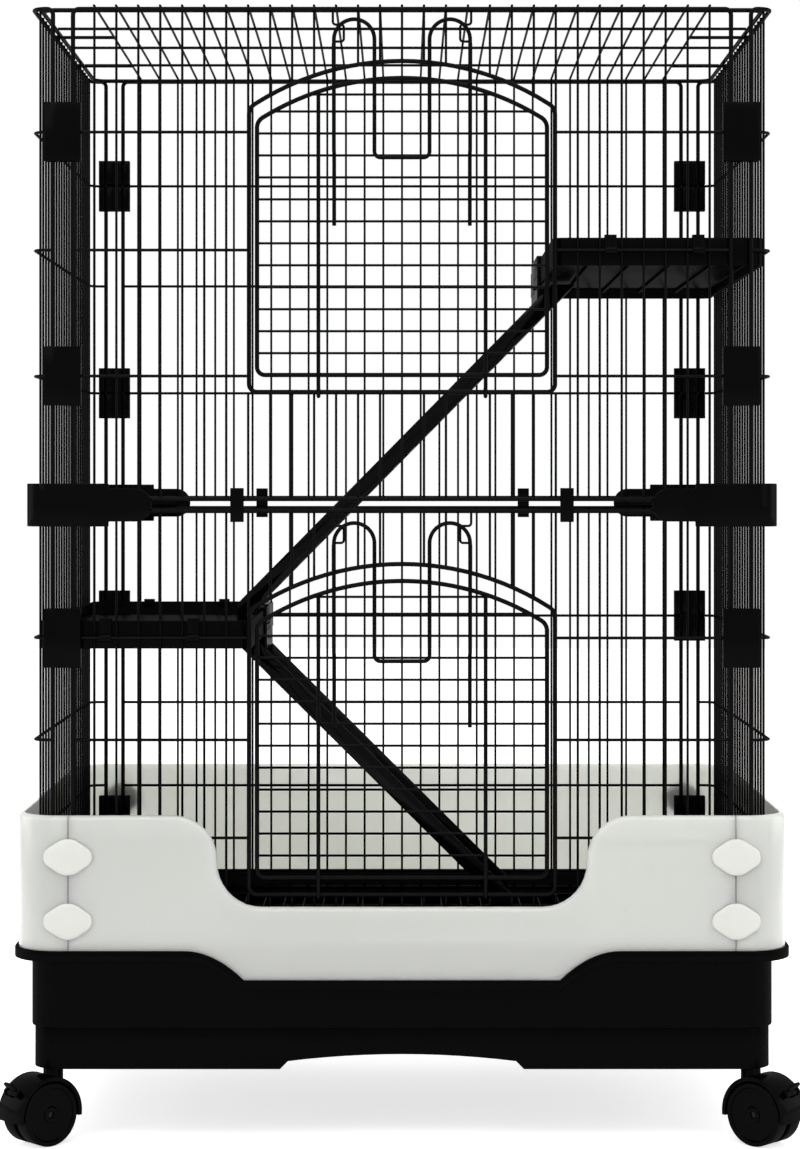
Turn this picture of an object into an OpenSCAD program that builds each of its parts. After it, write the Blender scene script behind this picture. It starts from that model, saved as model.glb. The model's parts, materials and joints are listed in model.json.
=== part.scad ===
// Two-storey wire cage on a deep black base with casters: welded wire panels, a white splash
// guard, two arched drop doors with sliding latches, two shelves and two ramps.
// Origin: on the floor, below the middle of the base. +X right, +Y towards the back, +Z up.

/* [Cage] */
// Width over the centre lines of the side rails
cage_w = 738; // [620:1:860]
// Depth between the centre lines of the front and rear rails
cage_d = 500; // [440:1:600]
// Height of the bottom rail of the lower panels
lower_bottom_z = 206; // [204:1:215]
// Height of the top rail of the lower panels
lower_top_z = 634; // [630:1:660]
// Height of each upper panel, from rail to rail
upper_panel_h = 490; // [480:1:560]
// Distance between the two rails where the storeys meet
storey_gap = 12; // [11:0.5:16]

/* [Wire] */
// Diameter of the rails and of the door frames
rail_d = 4.5; // [3.5:0.1:5]
// Diameter of the upright mesh wires
wire_d = 2.5; // [1.8:0.1:3]
// Diameter of the level mesh wires
cross_d = 3; // [2:0.1:3.4]
// Distance between two upright mesh wires
wire_pitch = 22; // [19:0.5:26]
// Bend radius of a panel's corners
panel_bend = 6; // [5:0.5:10]
// Bend radius of the side panels round the cage's corners
corner_bend = 14; // [12:0.5:20]
// Gap between the upright edges of two panels that are clipped together
edge_gap = 20; // [17:0.5:24]

/* [Doors] */
// Width of a door over the centre lines of its frame
door_w = 290; // [250:1:320]
// Height of a door from its bottom rail to the top of its arch
door_h = 297; // [270:1:310]
// Radius of a door's arch
door_arch_r = 265; // [200:5:400]
// Gap beside a door, between the centre lines of the frames
door_side_gap = 8; // [6.5:0.5:12]
// Gap over and under a door, between the centre lines of the frames
door_end_gap = 17; // [15:0.5:19]
// Height of the lower doorway's sill rail
lower_sill_z = 250; // [246:1:258]
// Height of the upper doorway's sill rail above the upper panel's bottom rail
upper_sill_rise = 107; // [60:1:110]
// Distance of a hinge wire from the door's middle
hinge_x = 83.5; // [81.5:0.5:85]
// Diameter of the hinge and latch wires
latch_wire_d = 4; // [3:0.1:4.2]
// Half width of the latch's grip
grip_x = 27.5; // [20:0.5:34]
// Distance of the latch's outer legs from the door's middle
latch_leg_x = 68; // [60:0.5:74]
// Height of the latch's top above the sill rail
latch_top = 374; // [360:1:378]
// Height of the latch's grip above the sill rail
latch_grip = 234; // [200:1:260]
// Height of the lower ends of the latch's legs above the sill rail
latch_foot = 167; // [130:1:200]

/* [Base] */
// Thickness of the moulded plastic
wall = 3; // [2.5:0.1:3.5]
// Height of the stand's lower edge
stand_z = 76; // [74:1:84]
// Height of the joint between the stand and the pan
pan_z = 117; // [112:1:124]
// Height of the pan's rim, on which the guard stands
rim_z = 191; // [188:1:198]
// Corner radius of the pan and the guard
base_r = 30; // [22:1:40]
// Drop of the base's front edge in the middle
front_dip = 29; // [15:1:40]

/* [Guard] */
// Height of the guard's top edge
guard_top_z = 331; // [310:1:350]
// Height of the guard's cut-out below the lower door
guard_sill_z = 240; // [225:1:241]
// Half width of the flat part of the cut-out
cutout_flat_x = 140; // [120:1:150]
// Gap between the wire panels and the guard
guard_gap = 13; // [9:0.5:15]
// Height of a guard clip
guard_clip_h = 36; // [30:1:46]

/* [Shelves and ramps] */
// Width of a shelf
shelf_w = 212; // [180:1:225]
// Height of a shelf
shelf_h = 28; // [22:1:32]
// Height of the lower shelf's rim
lower_shelf_z = 524; // [515:1:530]
// Height of the upper shelf's rim
upper_shelf_z = 908; // [890:1:915]
// Width of a ramp
ramp_w = 140; // [110:1:170]
// Distance of the ramps behind the middle of the cage
ramp_y = 80; // [40:1:110]
// Height of a ramp's side walls
ramp_wall = 18; // [12:0.5:22]
// Distance between two treads of a ramp
tread_pitch = 25; // [20:0.5:32]
// Run of the upper ramp, from the upper shelf's edge to its foot
upper_run = 331; // [331:1:338]
// Run of the lower ramp, from the lower shelf's edge to its foot
lower_run = 271; // [240:1:330]
// Length of a ramp's top end that lies under the shelf
ramp_tuck = 38; // [20:1:40]

/* [Casters] */
// Radius of a caster wheel
wheel_r = 31.5; // [28:0.5:32]
// Thickness of each of a caster's two wheels
wheel_t = 16; // [12:0.5:18]
// Distance of the wheel axle from the swivel axis
caster_trail = 16; // [14:0.5:20]
// Distance of a caster stem from the base's side walls
caster_inset = 22; // [20:0.5:30]
// Angle that the casters are turned outwards to the front
caster_turn = 43; // [0:1:60]

/* [Hidden] */

wire_black = [0.06, 0.06, 0.07];
plastic_black = [0.10, 0.10, 0.11];
guard_white = [0.90, 0.91, 0.90];
axle_steel = [0.60, 0.61, 0.63];

// clearances
weld_gap = 0.05;
fit = 0.3;
pin_fit = 0.05;
$fn = 48;

rail_r = rail_d / 2;
wire_r = wire_d / 2;
cross_r = cross_d / 2;
latch_r = latch_wire_d / 2;

// an upright wire lies this far behind its rail, and a level wire this far
upright_in = rail_r + wire_r + weld_gap;
cross_in = upright_in - wire_r - cross_r - weld_gap;
// the inner face of the wire mesh, measured from the rails' plane
mesh_in = upright_in + wire_r;

half_w = cage_w / 2;
half_d = cage_d / 2;
// the upright edges: those of the side panels, and those of the front and rear panels
side_edge_x = half_w - corner_bend - panel_bend;
flat_edge_x = side_edge_x - edge_gap;

upper_bottom_z = lower_top_z + storey_gap;
upper_top_z = upper_bottom_z + upper_panel_h;
upper_sill_z = upper_bottom_z + upper_sill_rise;

// level wires, as heights
lower_levels = [lower_bottom_z + 101, lower_bottom_z + 199, lower_bottom_z + 301];
upper_levels = [upper_bottom_z + 123, upper_bottom_z + 249, upper_bottom_z + 367];
clip_levels = [lower_bottom_z + 59, lower_levels[2], upper_levels[0], upper_levels[2]];

// doorway frame
way_w = door_w + 2 * door_side_gap;
way_arch_r = door_arch_r + door_side_gap;
way_h = door_h + 2 * door_end_gap;
shoulder_r = 12;
door_bend = 8;
// the ball between two bends of a wire is this much wider than the wire
bead = 0.2;

// ---------- wire ----------

module rod_z(x, y, z0, z1, d) {
    translate([x, y, z0]) cylinder(d = d, h = z1 - z0);
}

module rod_x(x0, x1, y, z, d) {
    translate([x0, y, z]) rotate([0, 90, 0]) cylinder(d = d, h = x1 - x0);
}

module rod_y(x, y0, y1, z, d) {
    translate([x, y1, z]) rotate([90, 0, 0]) cylinder(d = d, h = y1 - y0);
}

// a bent stretch of wire in the XY plane, round the origin, from angle a0 through turn
module bend(r, d, a0, turn = 90) {
    rotate([0, 0, a0]) rotate_extrude(angle = turn) translate([r, 0]) circle(d = d);
}

// the same in the XZ plane, round the point (x, z)
module bend_xz(x, z, r, d, a0, turn = 90) {
    translate([x, 0, z]) rotate([90, 0, 0]) bend(r, d, a0, turn);
}

// the same in the YZ plane, round the point (y, z)
module bend_yz(y, z, r, d, a0, turn = 90) {
    translate([0, y, z]) rotate([90, 0, 90]) bend(r, d, a0, turn);
}

// a closed rectangular wire frame in the XZ plane
module frame_xz(half, z0, z1, r, d) {
    for (z = [z0, z1]) rod_x(r - half, half - r, 0, z, d);
    for (x = [-half, half]) rod_z(x, 0, z0 + r, z1 - r, d);
    bend_xz(half - r, z1 - r, r, d, 0);
    bend_xz(r - half, z1 - r, r, d, 90);
    bend_xz(r - half, z0 + r, r, d, 180);
    bend_xz(half - r, z0 + r, r, d, 270);
}

// an arch over the width w whose top is at the height top: its centre, its shoulders'
// centre, the angle where they meet, its height at x, and its half width at the height z
function snap(v) = round(v * 100) / 100;
function arch_centre(top, arch) = top - arch;
function shoulder_z(w, top, arch) = snap(arch_centre(top, arch)
    + sqrt(pow(arch - shoulder_r, 2) - pow(w / 2 - shoulder_r, 2)));
function shoulder_a(w, top, arch) =
    atan2(shoulder_z(w, top, arch) - arch_centre(top, arch), w / 2 - shoulder_r);
function arch_z(x, w, top, arch) = snap(abs(x) < arch * cos(shoulder_a(w, top, arch))
    ? arch_centre(top, arch) + sqrt(arch * arch - x * x)
    : shoulder_z(w, top, arch)
        + sqrt(max(0, pow(shoulder_r, 2) - pow(abs(x) - w / 2 + shoulder_r, 2))));
function arch_x(z, w, top, arch) = snap(z < shoulder_z(w, top, arch)
    ? w / 2
    : min(w / 2 - shoulder_r + sqrt(max(0, pow(shoulder_r, 2)
        - pow(z - shoulder_z(w, top, arch), 2))),
        sqrt(arch * arch - pow(z - arch_centre(top, arch), 2))));

// a closed wire frame with an arched top in the XZ plane
module frame_arched(w, z0, top, arch, r, d) {
    zs = shoulder_z(w, top, arch);
    a = shoulder_a(w, top, arch);
    rod_x(r - w / 2, w / 2 - r, 0, z0, d);
    for (x = [-w / 2, w / 2]) rod_z(x, 0, z0 + r, zs, d);
    bend_xz(r - w / 2, z0 + r, r, d, 180);
    bend_xz(w / 2 - r, z0 + r, r, d, 270);
    // each shoulder ends in a ball, in which the arch begins
    trim = bead / 2 / shoulder_r * 180 / PI;
    start = bead / 2 / arch * 180 / PI;
    for (m = [0, 1]) mirror([m, 0, 0]) {
        bend_xz(w / 2 - shoulder_r, zs, shoulder_r, d, 0, a - trim);
        translate([arch * cos(a), 0, arch_centre(top, arch) + arch * sin(a)])
            sphere(d = d + bead);
    }
    bend_xz(0, arch_centre(top, arch), arch, d, a + start, 180 - 2 * (a + start));
}

// ---------- wire panels ----------

// places of the upright wires across a stretch of half width half
function uprights(half, off = wire_pitch / 2) =
    [for (i = [0 : floor((half - off) / wire_pitch)]) i * wire_pitch];
function both_ways(list) = [for (s = [-1, 1], v = list) if (v > 0 || s > 0) s * v];

// a plain panel in the XZ plane, its mesh on the +Y side
module plain_panel(z0, z1, levels) {
    frame_xz(flat_edge_x, z0, z1, panel_bend, rail_d);
    for (x = both_ways(uprights(flat_edge_x))) rod_z(x, upright_in, z0, z1, wire_d);
    end = flat_edge_x - rail_r - weld_gap;
    for (z = levels) rod_x(-end, end, cross_in, z, cross_d);
}

// a panel with an arched doorway whose sill rail is at the height sill
module door_panel(z0, z1, levels, sill) {
    top = sill + way_h;
    keeper_x = latch_leg_x + wire_r;
    frame_xz(flat_edge_x, z0, z1, panel_bend, rail_d);
    frame_arched(way_w, sill, top, way_arch_r, door_bend, rail_d);
    for (x = both_ways(uprights(flat_edge_x))) {
        if (abs(x) > way_w / 2 + rail_r) {
            rod_z(x, upright_in, z0, z1, wire_d);
        } else {
            rod_z(x, upright_in, z0, sill, wire_d);
            if (abs(abs(x) - keeper_x) > wire_pitch / 2)
                rod_z(x, upright_in, arch_z(x, way_w, top, way_arch_r), z1, wire_d);
        }
    }
    for (s = [-1, 1]) keeper(s, keeper_x, arch_z(keeper_x, way_w, top, way_arch_r), z1);
    end = flat_edge_x - rail_r - weld_gap;
    stop = way_w / 2 + rail_r + weld_gap;
    for (z = levels) {
        if (z > sill && z < top) {
            rod_x(-end, -stop, cross_in, z, cross_d);
            rod_x(stop, end, cross_in, z, cross_d);
        } else {
            rod_x(-end, end, cross_in, z, cross_d);
        }
    }
}

// the upright wire beside a latch, with a bend that steps inwards round the latch's top
module keeper(s, x, z0, z1) {
    r = 3;
    step = 11;
    high = z1 - 15;
    low = high - 17;
    mirror([s < 0 ? 1 : 0, 0, 0]) translate([0, upright_in, 0]) {
        rod_z(x, 0, z0, low - r, wire_d);
        bend_xz(x - r, low - r, r, wire_d, 0);
        rod_x(x - step + r, x - r, 0, low, wire_d);
        bend_xz(x - step + r, low + r, r, wire_d, 180);
        rod_z(x - step, 0, low + r, high - r, wire_d);
        bend_xz(x - step + r, high - r, r, wire_d, 90);
        rod_x(x - step + r, x - r, 0, high, wire_d);
        bend_xz(x - r, high + r, r, wire_d, 270);
        rod_z(x, 0, high + r, z1, wire_d);
    }
}

// half of a side panel's rail: along the side, round the corner and towards the front
module side_rail_half(z, d, inset, end_x) {
    x = half_w - inset;
    r = corner_bend - inset;
    y = corner_bend - half_d;
    rod_y(x, y, 0, z, d);
    translate([half_w - corner_bend, y, z]) bend(r, d, 270);
    rod_x(end_x, half_w - corner_bend, inset - half_d, z, d);
}

// the right side panel; the left one is its mirror image
module side_panel(z0, z1, levels, tabs) {
    for (m = [0, 1]) mirror([0, m, 0]) {
        for (z = [z0, z1]) side_rail_half(z, rail_d, 0, side_edge_x + panel_bend);
        translate([0, -half_d, 0]) {
            rod_z(side_edge_x, 0, z0 + panel_bend, z1 - panel_bend, rail_d);
            bend_xz(side_edge_x + panel_bend, z1 - panel_bend, panel_bend, rail_d, 90);
            bend_xz(side_edge_x + panel_bend, z0 + panel_bend, panel_bend, rail_d, 180);
        }
        for (z = levels)
            side_rail_half(z, cross_d, cross_in, side_edge_x + rail_r + weld_gap);
        corner_in = (corner_bend - upright_in) * sin(45);
        rod_z(half_w - corner_bend + corner_in, corner_bend - half_d - corner_in, z0, z1, wire_d);
        if (tabs) rod_x(half_w - 66, half_w, -4.5 * wire_pitch, z1 - rail_r - tab_r - weld_gap,
            2 * tab_r);
    }
    for (y = both_ways(uprights(half_d - corner_bend)))
        rod_z(half_w - upright_in, y, z0, z1, wire_d);
}

// radius of the wire tabs that lock the top panel
tab_r = 1.75;
// the top panel's frame lies inside the upright wires
top_in = mesh_in + fit + rail_r;

module top_frame(half_x, half_y, r) {
    for (y = [-half_y, half_y]) rod_x(r - half_x, half_x - r, y, 0, rail_d);
    for (x = [-half_x, half_x]) rod_y(x, r - half_y, half_y - r, 0, rail_d);
    translate([half_x - r, half_y - r, 0]) bend(r, rail_d, 0);
    translate([r - half_x, half_y - r, 0]) bend(r, rail_d, 90);
    translate([r - half_x, r - half_y, 0]) bend(r, rail_d, 180);
    translate([half_x - r, r - half_y, 0]) bend(r, rail_d, 270);
}

module top_panel() {
    color(wire_black) translate([0, 0, upper_top_z]) {
        top_frame(half_w - top_in, half_d - top_in, corner_bend);
        for (x = both_ways(uprights(flat_edge_x))) rod_y(x, -half_d, half_d, upright_in, wire_d);
        end = half_w - top_in - rail_r - weld_gap;
        for (y = [-half_d / 2, 0, half_d / 2]) rod_x(-end, end, y, cross_in, cross_d);
    }
}

module lower_front_panel() {
    color(wire_black) translate([0, -half_d, 0])
        door_panel(lower_bottom_z, lower_top_z, lower_levels, lower_sill_z);
}

module upper_front_panel() {
    color(wire_black) translate([0, -half_d, 0])
        door_panel(upper_bottom_z, upper_top_z, upper_levels, upper_sill_z);
}

module lower_rear_panel() {
    color(wire_black) mirror([0, 1, 0]) translate([0, -half_d, 0])
        plain_panel(lower_bottom_z, lower_top_z, lower_levels);
}

module upper_rear_panel() {
    color(wire_black) mirror([0, 1, 0]) translate([0, -half_d, 0])
        plain_panel(upper_bottom_z, upper_top_z, upper_levels);
}

module lower_right_panel() {
    color(wire_black) side_panel(lower_bottom_z, lower_top_z, lower_levels, false);
}

module lower_left_panel() {
    color(wire_black) mirror([1, 0, 0])
        side_panel(lower_bottom_z, lower_top_z, lower_levels, false);
}

module upper_right_panel() {
    color(wire_black) side_panel(upper_bottom_z, upper_top_z, upper_levels, true);
}

module upper_left_panel() {
    color(wire_black) mirror([1, 0, 0])
        side_panel(upper_bottom_z, upper_top_z, upper_levels, true);
}

// ---------- doors ----------

// a hinge or latch wire lies this far in front of the door frame
hinge_out = rail_r + latch_r + pin_fit;
latch_out = rail_r + latch_r + fit;
// the latch's legs step back above the level wire with this number
latch_level = 10;

// a door whose hinges turn on the sill rail at the height sill
module door(sill) {
    z0 = sill + door_end_gap;
    top = z0 + door_h;
    bar_z = top - 16;
    frame_arched(door_w, z0, top, door_arch_r, door_bend, rail_d);
    levels = [for (z = [z0 + wire_pitch : wire_pitch : bar_z - wire_pitch / 2]) z];
    for (z = concat(levels, [bar_z])) {
        end = arch_x(z, door_w, top, door_arch_r);
        rod_x(-end, end, upright_in, z, wire_d);
    }
    for (x = [-hinge_x, hinge_x]) translate([x, 0, 0]) {
        rod_z(0, -hinge_out, sill, arch_z(x, door_w, top, door_arch_r), latch_wire_d);
        bend_yz(0, sill, hinge_out, latch_wire_d, 180, 230);
    }
}

// half of the latch: half the grip, the arch, and the leg that steps back through the mesh
module latch_half(sill) {
    arch_r = (latch_leg_x - grip_x) / 2;
    arch_c = sill + latch_top - arch_r - latch_r;
    grip_r = 6;
    grip_z = sill + latch_grip;
    step_z = sill + door_end_gap + latch_level * wire_pitch + wire_r + latch_r + fit;
    step_r = 4;
    back = upright_in + wire_r + latch_r + fit;
    translate([0, -latch_out, 0]) {
        rod_x(0, grip_x - grip_r, 0, grip_z, latch_wire_d);
        bend_xz(grip_x - grip_r, grip_z + grip_r, grip_r, latch_wire_d, 270);
        rod_z(grip_x, 0, grip_z + grip_r, arch_c, latch_wire_d);
        bend_xz(grip_x + arch_r, arch_c, arch_r, latch_wire_d, 0, 180);
        rod_z(latch_leg_x, 0, step_z + step_r, arch_c, latch_wire_d);
    }
    translate([latch_leg_x, 0, 0]) {
        bend_yz(step_r - latch_out, step_z + step_r, step_r, latch_wire_d, 180);
        rod_y(0, step_r - latch_out, back - step_r, step_z, latch_wire_d);
        bend_yz(back - step_r, step_z - step_r, step_r, latch_wire_d, 0);
        rod_z(0, back, sill + latch_foot, step_z - step_r, latch_wire_d);
    }
}

module latch(sill) {
    for (m = [0, 1]) mirror([m, 0, 0]) latch_half(sill);
}

module lower_door() {
    color(wire_black) translate([0, -half_d, 0]) door(lower_sill_z);
}

module upper_door() {
    color(wire_black) translate([0, -half_d, 0]) door(upper_sill_z);
}

module lower_door_latch() {
    color(wire_black) translate([0, -half_d, 0]) latch(lower_sill_z);
}

module upper_door_latch() {
    color(wire_black) translate([0, -half_d, 0]) latch(upper_sill_z);
}

// ---------- plan outlines ----------

module rounded_rect(hx, hy, r) {
    square([2 * (hx - r), 2 * hy], center = true);
    square([2 * hx, 2 * (hy - r)], center = true);
    for (x = [r - hx, hx - r], y = [r - hy, hy - r]) translate([x, y]) circle(r = r);
}

// a band that lies from a to b outside the rails' plan, with the corners of radius ra
module plan_band(a, b, ra) {
    difference() {
        rounded_rect(half_w + b, half_d + b, ra + b - a);
        rounded_rect(half_w + a, half_d + a, ra);
    }
}

// points along an arc
function arc(cx, cy, r, a0, a1, n = 8) =
    [for (i = [0 : n]) [cx + r * cos(a0 + (a1 - a0) * i / n), cy + r * sin(a0 + (a1 - a0) * i / n)]];

// ---------- base ----------

// the base's front edge: flat at the sides and in the lower middle, with a curve between
dip_x0 = 157;
dip_x1 = 217;
function dip_at(t) = t * (2 - t);
function dip_half(z) = [for (i = [0 : 10])
    [dip_x0 + (dip_x1 - dip_x0) * i / 10, z - front_dip * (1 - dip_at(i / 10))]];
function reversed(list) = [for (i = [len(list) - 1 : -1 : 0]) list[i]];
function mirrored(list) = [for (p = reversed(list)) [-p[0], p[1]]];
function dip_line(z) = concat(mirrored(dip_half(z)), dip_half(z));

// the pan's walls stand this far outside the rails' centre line
pan_out = 4;
stand_out = 1;
pan_floor_drop = 16;
foot_out = stand_out - wall - fit;
ledge_in = 9;
rim_t = 5;
lip_h = 6;
guard_in = mesh_in - upright_in + guard_gap;
guard_out = guard_in + wall;
rim_out = guard_out + 4;
ledge_z = lower_bottom_z - rail_r - fit;

module base_pan() {
    color(plastic_black) {
        // floor and walls, stepped in at the bottom to sit in the stand
        translate([0, 0, pan_z - pan_floor_drop]) linear_extrude(wall)
            rounded_rect(half_w + foot_out, half_d + foot_out, base_r + foot_out - pan_out);
        translate([0, 0, pan_z - pan_floor_drop]) linear_extrude(pan_floor_drop + wall)
            plan_band(foot_out - wall, foot_out, base_r + foot_out - wall - pan_out);
        translate([0, 0, pan_z + fit]) linear_extrude(wall)
            plan_band(foot_out - wall, pan_out, base_r + foot_out - wall - pan_out);
        translate([0, 0, pan_z + fit]) linear_extrude(rim_z - pan_z - fit)
            plan_band(pan_out - wall, pan_out, base_r - wall);
        // ledge that carries the wire panels and the floor grid
        translate([0, 0, rim_z - rim_t]) linear_extrude(ledge_z - rim_z + rim_t)
            plan_band(-ledge_in + pan_out, pan_out, base_r - ledge_in);
        translate([0, 0, rim_z - 2 * rim_t]) linear_extrude(rim_t)
            plan_band(-2 * ledge_in, pan_out, base_r - 2 * ledge_in - pan_out);
        // rim outside the walls, which dips along the front
        difference() {
            translate([0, 0, rim_z - rim_t]) linear_extrude(rim_t + lip_h) difference() {
                rounded_rect(half_w + rim_out, half_d + rim_out, base_r + rim_out - pan_out);
                rounded_rect(half_w + pan_out, half_d + pan_out, base_r);
            }
            translate([0, 0, rim_z]) linear_extrude(lip_h + 1)
                rounded_rect(half_w + guard_out + fit, half_d + guard_out + fit,
                    base_r + guard_out + fit - pan_out);
            translate([-dip_x1, -half_d - rim_out - 1, rim_z - rim_t - 1])
                cube([2 * dip_x1, rim_out - pan_out + 1, rim_t + lip_h + 2]);
        }
        front_rim();
    }
}

// the part of the rim under the front guard's dip
module front_rim() {
    translate([0, -half_d - pan_out, 0]) rotate([90, 0, 0]) linear_extrude(rim_out - pan_out)
        polygon(concat(dip_line(rim_z), reversed(dip_line(rim_z - rim_t))));
    translate([0, -half_d - guard_out - fit, 0]) rotate([90, 0, 0])
        linear_extrude(rim_out - guard_out - fit)
        polygon(concat(dip_line(rim_z + lip_h), reversed(dip_line(rim_z - rim_t))));
}

stem_x = half_w + pan_out - caster_inset;
stem_y = half_d + pan_out - caster_inset;
stem_r = 5;
socket_r = 12;

module corners() {
    for (sx = [-1, 1], sy = [-1, 1]) translate([sx * stem_x, sy * stem_y, 0]) children();
}

module base_stand() {
    arch_x0 = 114;
    arch_x1 = 122;
    arch_low = 8;
    arch_rise = 7;
    shelf_z = pan_z - pan_floor_drop - wall;
    base_wall_r = base_r + stand_out - pan_out;
    color(plastic_black) difference() {
        union() {
            translate([0, 0, stand_z]) linear_extrude(pan_z - stand_z)
                plan_band(stand_out - wall, stand_out, base_wall_r - wall);
            // shelf inside the walls, under the pan's floor
            translate([0, 0, shelf_z]) linear_extrude(wall)
                plan_band(stand_out - 2 * caster_inset, stand_out, 8);
            translate([0, 0, stand_z]) corners() {
                cylinder(r = socket_r, h = shelf_z - stand_z);
                for (a = [0 : 90 : 270]) rotate(a) translate([0, -wall / 2, 0])
                    cube([caster_inset - pan_out + stand_out - wall / 2, wall, shelf_z - stand_z]);
            }
        }
        translate([0, 0, stand_z - 1]) corners()
            cylinder(r = stem_r + pin_fit, h = stem_top + fit - stand_z + 1);
        translate([0, half_d + caster_inset, 0]) rotate([90, 0, 0])
            linear_extrude(2 * (half_d + caster_inset))
            polygon(concat([[-arch_x1, stand_z - 1], [-arch_x1, stand_z]],
                [for (i = [-6 : 6]) [arch_x0 * i / 6,
                    stand_z + arch_low + arch_rise * (1 - i * i / 36)]],
                [[arch_x1, stand_z], [arch_x1, stand_z - 1]]));
    }
}

module floor_grid() {
    half_x = half_w + pan_out - ledge_in - fit - rail_r;
    half_y = half_d + pan_out - ledge_in - fit - rail_r;
    color(wire_black) translate([0, 0, rim_z - rim_t + rail_r + fit]) {
        top_frame(half_x, half_y, base_r - ledge_in - rail_r);
        for (x = both_ways(uprights(half_x))) rod_y(x, -half_y, half_y, upright_in, wire_d);
        end = half_x - rail_r - weld_gap;
        for (y = both_ways([for (i = [0 : 2]) i * 4 * wire_pitch]))
            rod_x(-end, end, y, cross_in, cross_d);
    }
}
floor_top_z = rim_z - rim_t + rail_r + fit + upright_in + wire_r;

// ---------- splash guard ----------

seam_x = half_w + guard_out - base_r - 24;
seam_gap = 0.6;
cut_r = 44;

// front outline: dipping lower edge, and a cut-out below the lower door
module guard_front_outline() {
    high = guard_top_z;
    low = guard_sill_z;
    upper_c = cutout_flat_x + 2 * cut_r;
    half = concat(
        arc(cutout_flat_x, low + cut_r, cut_r, 270, 350),
        arc(upper_c, high - cut_r, cut_r, 170, 90),
        [[seam_x - seam_gap, high], [seam_x - seam_gap, rim_z + fit]]);
    bottom = dip_half(rim_z + fit);
    polygon(concat(half, reversed(bottom), reversed(mirrored(bottom)), mirrored(half)));
}

module guard_front() {
    color(guard_white) {
        translate([0, -half_d - guard_in, 0]) rotate([90, 0, 0]) linear_extrude(wall)
            guard_front_outline();
        translate([0, -half_d - guard_in + wall, 0]) rotate([90, 0, 0]) linear_extrude(wall)
            difference() {
                guard_front_outline();
                translate([0, -2 * wall]) guard_front_outline();
                translate([-seam_x - 1, 0]) square([2 * seam_x + 2, guard_sill_z - 2 * wall]);
            }
    }
}

module guard_rear() {
    w = 2 * (seam_x - seam_gap);
    color(guard_white) {
        translate([-w / 2, half_d + guard_in, rim_z + fit])
            cube([w, wall, guard_top_z - rim_z - fit]);
        translate([-w / 2, half_d + guard_in - wall, guard_top_z - 2 * wall])
            cube([w, 2 * wall, 2 * wall]);
    }
}

module guard_side() {
    module band(inner, z) {
        translate([0, 0, z]) linear_extrude(guard_top_z - z) intersection() {
            plan_band(inner, guard_out, base_r + inner - pan_out);
            translate([seam_x, -half_d - guard_out - 1]) square([200, 2 * (half_d + guard_out + 1)]);
        }
    }
    color(guard_white) {
        band(guard_in, rim_z + fit);
        band(guard_in - wall, guard_top_z - 2 * wall);
    }
}

module guard_right() {
    guard_side();
}

module guard_left() {
    mirror([1, 0, 0]) guard_side();
}

// the eight clips that bridge the guard's seams
module guard_clips() {
    half = 25;
    nose = 6;
    levels = [rim_z + 35, rim_z + 99];
    color(guard_white) for (sx = [-1, 1], m = [0, 1], z = levels)
        mirror([0, m, 0]) translate([sx * seam_x, -half_d - guard_out - fit, z])
            rotate([90, 0, 0]) linear_extrude(4) intersection() {
                polygon([[-half, -nose], [-nose, -guard_clip_h / 2], [nose, -guard_clip_h / 2],
                    [half, -nose], [half, nose], [nose, guard_clip_h / 2],
                    [-nose, guard_clip_h / 2], [-half, nose]]);
                circle(r = half - 1);
            }
}

// ---------- clips and joints between the panels ----------

clip_h = 59;
clip_t = 11;

// a clip round the upright edges of a flat panel and a side panel, at the right front
module corner_clips() {
    mid = (flat_edge_x + side_edge_x) / 2;
    half = edge_gap / 2 + 8;
    mouth = rail_d * 0.7;
    for (z = clip_levels) translate([mid, -half_d, z - clip_h / 2]) difference() {
        translate([-half, -clip_t / 2, 0]) cube([2 * half, clip_t, clip_h]);
        for (x = [-edge_gap / 2, edge_gap / 2]) translate([x, 0, -1]) {
            cylinder(r = rail_r + pin_fit, h = clip_h + 2);
            translate([-mouth / 2, 0, 0]) cube([mouth, clip_t, clip_h + 2]);
        }
        translate([-half - 1, cross_in - cross_r - fit, clip_h / 2 - cross_r - fit])
            cube([2 * half + 2, clip_t, cross_d + 2 * fit]);
    }
}

module corner_clips_front_right() {
    color(plastic_black) corner_clips();
}

module corner_clips_front_left() {
    color(plastic_black) mirror([1, 0, 0]) corner_clips();
}

module corner_clips_rear_right() {
    color(plastic_black) mirror([0, 1, 0]) corner_clips();
}

module corner_clips_rear_left() {
    color(plastic_black) rotate(180) corner_clips();
}

// the moulded joint that wraps a corner where the storeys meet, at the right front
module storey_joint() {
    block_h = 43;
    block_len = 76;
    tongue_h = 33;
    tongue_len = 119;
    plate_in = rail_r + fit;
    plate_t = 5;
    mid_z = lower_top_z + storey_gap / 2;
    module arm(h, len, a, b) {
        translate([0, 0, mid_z - h / 2]) linear_extrude(h) intersection() {
            plan_band(a, b, corner_bend + a);
            translate([half_w - len, -half_d - 30]) square([len + 30, len + 30]);
        }
    }
    // a tongue from the block to its round tip
    module tongue() {
        linear_extrude(plate_t) {
            translate([tongue_len - tongue_h / 2, 0]) circle(d = tongue_h);
            translate([block_len - 1, -tongue_h / 2])
                square([tongue_len - tongue_h / 2 - block_len + 1, tongue_h]);
        }
    }
    arm(block_h, block_len, plate_in, plate_in + plate_t);
    translate([half_w, -half_d - plate_in, mid_z]) rotate([90, 0, 0]) mirror([1, 0, 0]) tongue();
    translate([half_w + plate_in, -half_d, mid_z]) rotate([90, 0, 90]) tongue();
    // rib between the two storeys' rails
    arm(storey_gap - rail_d - 2 * fit, tongue_len - tongue_h / 2, -mesh_in, plate_in + 1);
}

module storey_joint_front_right() {
    color(plastic_black) storey_joint();
}

module storey_joint_front_left() {
    color(plastic_black) mirror([1, 0, 0]) storey_joint();
}

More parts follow.
